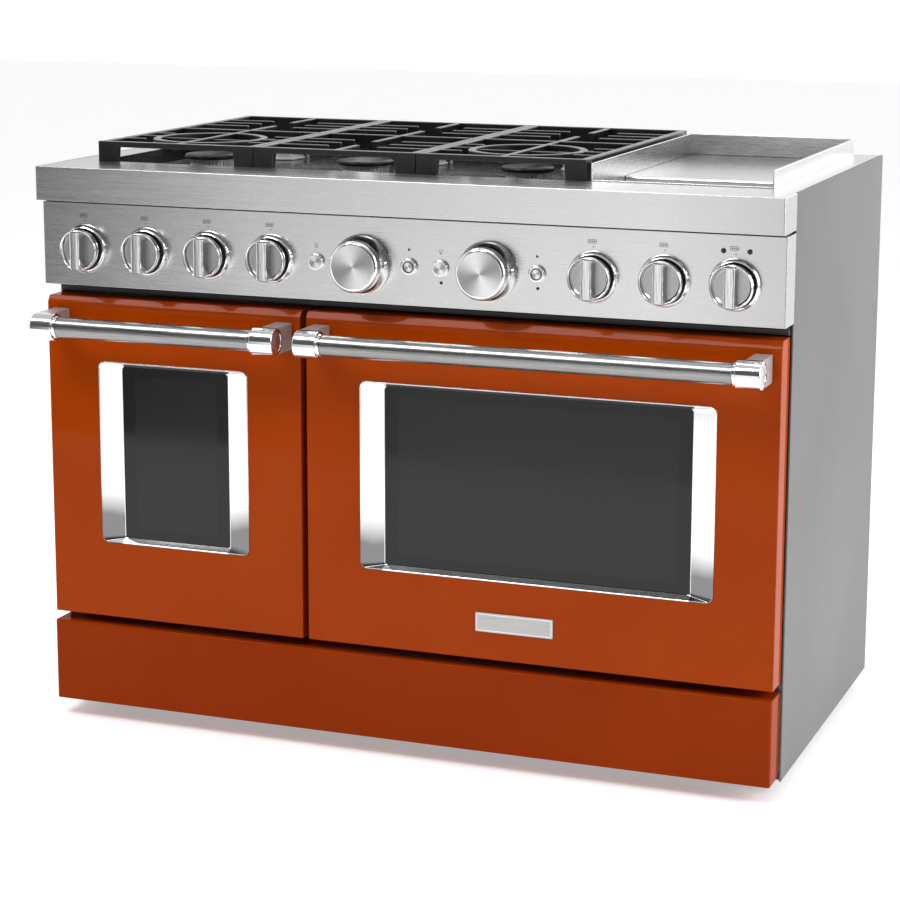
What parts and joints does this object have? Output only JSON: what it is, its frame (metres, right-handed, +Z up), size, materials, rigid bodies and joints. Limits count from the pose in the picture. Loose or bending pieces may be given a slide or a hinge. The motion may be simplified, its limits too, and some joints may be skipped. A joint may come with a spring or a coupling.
{
  "type": "freestanding gas range",
  "caption": "Wide freestanding gas range with orange doors, open burners under cast grates, a griddle, and a small and a large oven side by side.",
  "frame": {"origin": "on the floor, under the centre of the bounding box with doors shut", "axes": "+X to the right and -Y towards the cook as seen from the front, +Z up"},
  "size_m": [1.216, 0.7516, 0.946],
  "materials": {
    "orange_paint": "gloss",
    "grey_paint": "satin",
    "stainless": "brushed",
    "chrome": "polished",
    "cast_iron": "matt black",
    "enamel": "porcelain enamel",
    "zinc_steel": "zinc plated",
    "burner_metal": "cast",
    "glass": "dark tint"
  },
  "bodies": {
    "range_body": {"base_frame": "zinc_steel", "side_panel_left": "grey_paint", "side_panel_right": "grey_paint", "back_panel": "zinc_steel", "kick_panel": "orange_paint", "cooktop": "stainless", "control_panel": "stainless", "griddle_surround": "stainless", "griddle_plate": "stainless", "left_oven_liner": "enamel", "right_oven_liner": "enamel", "burner_head_left_front": "burner_metal", "burner_head_left_rear": "burner_metal", "burner_head_middle_front": "burner_metal", "burner_head_middle_rear": "burner_metal", "burner_head_right_front": "burner_metal", "burner_head_right_rear": "burner_metal"},
    "left_door": {"left_door_skin": "orange_paint", "left_door_window_trim": "chrome", "left_door_glass": "glass", "left_door_liner": "enamel", "left_door_handle_bar": "stainless", "left_door_handle_post_left": "chrome", "left_door_handle_post_right": "chrome"},
    "right_door": {"right_door_skin": "orange_paint", "right_door_window_trim": "chrome", "right_door_glass": "glass", "right_door_liner": "enamel", "right_door_handle_bar": "stainless", "right_door_handle_post_left": "chrome", "right_door_handle_post_right": "chrome", "right_door_name_plate": "stainless"},
    "knob_left_rear_body": {"knob_left_rear": "chrome"},
    "knob_left_front_body": {"knob_left_front": "chrome"},
    "knob_middle_rear_body": {"knob_middle_rear": "chrome"},
    "knob_middle_front_body": {"knob_middle_front": "chrome"},
    "knob_right_rear_body": {"knob_right_rear": "chrome"},
    "knob_right_front_body": {"knob_right_front": "chrome"},
    "knob_griddle_body": {"knob_griddle": "chrome"},
    "dial_left_body": {"dial_left_oven": "chrome"},
    "button_light_left_body": {"button_light_left": "chrome"},
    "button_start_left_body": {"button_start_left": "chrome"},
    "dial_right_body": {"dial_right_oven": "chrome"},
    "button_light_right_body": {"button_light_right": "chrome"},
    "button_start_right_body": {"button_start_right": "chrome"},
    "grate_left_body": {"grate_left": "cast_iron"},
    "grate_middle_body": {"grate_middle": "cast_iron"},
    "grate_right_body": {"grate_right": "cast_iron"},
    "burner_cap_left_front_body": {"burner_cap_left_front": "cast_iron"},
    "burner_cap_left_rear_body": {"burner_cap_left_rear": "cast_iron"},
    "burner_cap_middle_front_body": {"burner_cap_middle_front": "cast_iron"},
    "burner_cap_middle_rear_body": {"burner_cap_middle_rear": "cast_iron"},
    "burner_cap_right_front_body": {"burner_cap_right_front": "cast_iron"},
    "burner_cap_right_rear_body": {"burner_cap_right_rear": "cast_iron"},
    "left_rack_body": {"left_oven_rack": "chrome"},
    "right_rack_body": {"right_oven_rack": "chrome"},
    "foot_front_left_body": {"foot_front_left": "zinc_steel"},
    "foot_front_right_body": {"foot_front_right": "zinc_steel"},
    "foot_rear_left_body": {"foot_rear_left": "zinc_steel"},
    "foot_rear_right_body": {"foot_rear_right": "zinc_steel"}
  },
  "joints": [
    {"name": "left_door_hinge", "type": "hinge", "parent": "range_body", "child": "left_door", "pos_m": [-0.381, -0.27215, 0.196], "axis": [1, 0, 0], "range_deg": [0, 90], "stiffness_Nm_per_rad": 14, "springref_deg": -17.19},
    {"name": "right_door_hinge", "type": "hinge", "parent": "range_body", "child": "right_door", "pos_m": [0.228, -0.27215, 0.196], "axis": [1, 0, 0], "range_deg": [0, 90], "stiffness_Nm_per_rad": 22, "springref_deg": -17.19},
    {"name": "knob_left_rear_turn", "type": "hinge", "parent": "range_body", "child": "knob_left_rear_body", "pos_m": [-0.532, -0.30415, 0.783], "axis": [0, -1, 0], "range_deg": [0, 240]},
    {"name": "knob_left_front_turn", "type": "hinge", "parent": "range_body", "child": "knob_left_front_body", "pos_m": [-0.423, -0.30415, 0.783], "axis": [0, -1, 0], "range_deg": [0, 240]},
    {"name": "knob_middle_rear_turn", "type": "hinge", "parent": "range_body", "child": "knob_middle_rear_body", "pos_m": [-0.314, -0.30415, 0.783], "axis": [0, -1, 0], "range_deg": [0, 240]},
    {"name": "knob_middle_front_turn", "type": "hinge", "parent": "range_body", "child": "knob_middle_front_body", "pos_m": [-0.206, -0.30415, 0.783], "axis": [0, -1, 0], "range_deg": [0, 240]},
    {"name": "knob_right_rear_turn", "type": "hinge", "parent": "range_body", "child": "knob_right_rear_body", "pos_m": [0.317, -0.30415, 0.783], "axis": [0, -1, 0], "range_deg": [0, 240]},
    {"name": "knob_right_front_turn", "type": "hinge", "parent": "range_body", "child": "knob_right_front_body", "pos_m": [0.426, -0.30415, 0.783], "axis": [0, -1, 0], "range_deg": [0, 240]},
    {"name": "knob_griddle_turn", "type": "hinge", "parent": "range_body", "child": "knob_griddle_body", "pos_m": [0.532, -0.30415, 0.783], "axis": [0, -1, 0], "range_deg": [0, 240]},
    {"name": "dial_left_turn", "type": "hinge", "parent": "range_body", "child": "dial_left_body", "pos_m": [-0.052, -0.30415, 0.783], "axis": [0, -1, 0], "range_deg": [0, 300]},
    {"name": "button_light_left_press", "type": "slide", "parent": "range_body", "child": "button_light_left_body", "axis": [0, 1, 0], "range_m": [0, 0.002], "stiffness_N_per_m": 400, "springref_m": -0.001},
    {"name": "button_start_left_press", "type": "slide", "parent": "range_body", "child": "button_start_left_body", "axis": [0, 1, 0], "range_m": [0, 0.002], "stiffness_N_per_m": 400, "springref_m": -0.001},
    {"name": "dial_right_turn", "type": "hinge", "parent": "range_body", "child": "dial_right_body", "pos_m": [0.153, -0.30415, 0.783], "axis": [0, -1, 0], "range_deg": [0, 300]},
    {"name": "button_light_right_press", "type": "slide", "parent": "range_body", "child": "button_light_right_body", "axis": [0, 1, 0], "range_m": [0, 0.002], "stiffness_N_per_m": 400, "springref_m": -0.001},
    {"name": "button_start_right_press", "type": "slide", "parent": "range_body", "child": "button_start_right_body", "axis": [0, 1, 0], "range_m": [0, 0.002], "stiffness_N_per_m": 400, "springref_m": -0.001},
    {"name": "grate_left_lift", "type": "slide", "parent": "range_body", "child": "grate_left_body", "axis": [0, 0, 1], "range_m": [0, 0.08]},
    {"name": "grate_middle_lift", "type": "slide", "parent": "range_body", "child": "grate_middle_body", "axis": [0, 0, 1], "range_m": [0, 0.08]},
    {"name": "grate_right_lift", "type": "slide", "parent": "range_body", "child": "grate_right_body", "axis": [0, 0, 1], "range_m": [0, 0.08]},
    {"name": "burner_cap_left_front_lift", "type": "slide", "parent": "range_body", "child": "burner_cap_left_front_body", "axis": [0, 0, 1], "range_m": [0, 0.012]},
    {"name": "burner_cap_left_rear_lift", "type": "slide", "parent": "range_body", "child": "burner_cap_left_rear_body", "axis": [0, 0, 1], "range_m": [0, 0.012]},
    {"name": "burner_cap_middle_front_lift", "type": "slide", "parent": "range_body", "child": "burner_cap_middle_front_body", "axis": [0, 0, 1], "range_m": [0, 0.012]},
    {"name": "burner_cap_middle_rear_lift", "type": "slide", "parent": "range_body", "child": "burner_cap_middle_rear_body", "axis": [0, 0, 1], "range_m": [0, 0.012]},
    {"name": "burner_cap_right_front_lift", "type": "slide", "parent": "range_body", "child": "burner_cap_right_front_body", "axis": [0, 0, 1], "range_m": [0, 0.012]},
    {"name": "burner_cap_right_rear_lift", "type": "slide", "parent": "range_body", "child": "burner_cap_right_rear_body", "axis": [0, 0, 1], "range_m": [0, 0.012]},
    {"name": "left_rack_slide", "type": "slide", "parent": "range_body", "child": "left_rack_body", "axis": [0, -1, 0], "range_m": [0, 0.06]},
    {"name": "right_rack_slide", "type": "slide", "parent": "range_body", "child": "right_rack_body", "axis": [0, -1, 0], "range_m": [0, 0.06]},
    {"name": "foot_front_left_level", "type": "slide", "parent": "range_body", "child": "foot_front_left_body", "axis": [0, 0, -1], "range_m": [0, 0.02]},
    {"name": "foot_front_right_level", "type": "slide", "parent": "range_body", "child": "foot_front_right_body", "axis": [0, 0, -1], "range_m": [0, 0.02]},
    {"name": "foot_rear_left_level", "type": "slide", "parent": "range_body", "child": "foot_rear_left_body", "axis": [0, 0, -1], "range_m": [0, 0.02]},
    {"name": "foot_rear_right_level", "type": "slide", "parent": "range_body", "child": "foot_rear_right_body", "axis": [0, 0, -1], "range_m": [0, 0.02]}
  ]
}
